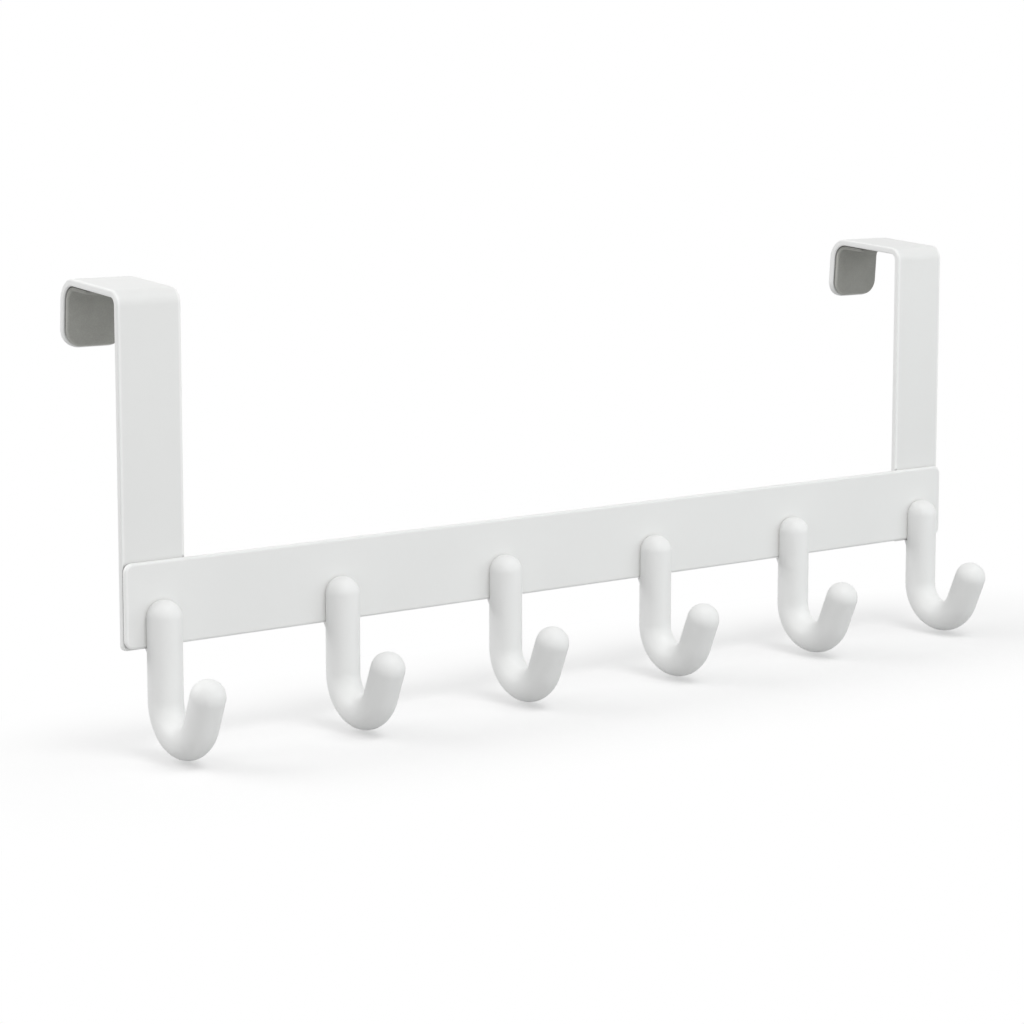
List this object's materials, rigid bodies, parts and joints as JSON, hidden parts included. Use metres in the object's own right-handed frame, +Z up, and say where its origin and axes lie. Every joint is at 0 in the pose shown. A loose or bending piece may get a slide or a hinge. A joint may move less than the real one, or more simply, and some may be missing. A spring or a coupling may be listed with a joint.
{
  "type": "over door hook rack",
  "caption": "White over-door hook rack: a flat rail of thick round J hooks hung from two bent strap brackets with grey foam pads lining their lips.",
  "frame": {"origin": "midway along the rail, at the door's top front edge: strap back faces on Y = 0, webs start from Z = 0", "axes": "+X along the rail, to the right as seen from the hooks' side; -Y the way the hooks point; +Y over the door; +Z up"},
  "size_m": [0.406, 0.0859, 0.1682],
  "materials": {
    "white_powder_coat": "satin white powder coat with a faint orange-peel texture",
    "grey_foam": "matt closed-cell foam",
    "zinc_screw": "bright zinc plate"
  },
  "bodies": {
    "root": {"rail": "white_powder_coat", "left_bracket": "white_powder_coat", "right_bracket": "white_powder_coat", "hook_1": "white_powder_coat", "hook_2": "white_powder_coat", "hook_3": "white_powder_coat", "hook_4": "white_powder_coat", "hook_5": "white_powder_coat", "hook_6": "white_powder_coat", "left_lip_pad": "grey_foam", "right_lip_pad": "grey_foam", "rail_screws": "zinc_screw", "bracket_screws": "zinc_screw"}
  },
  "joints": []
}
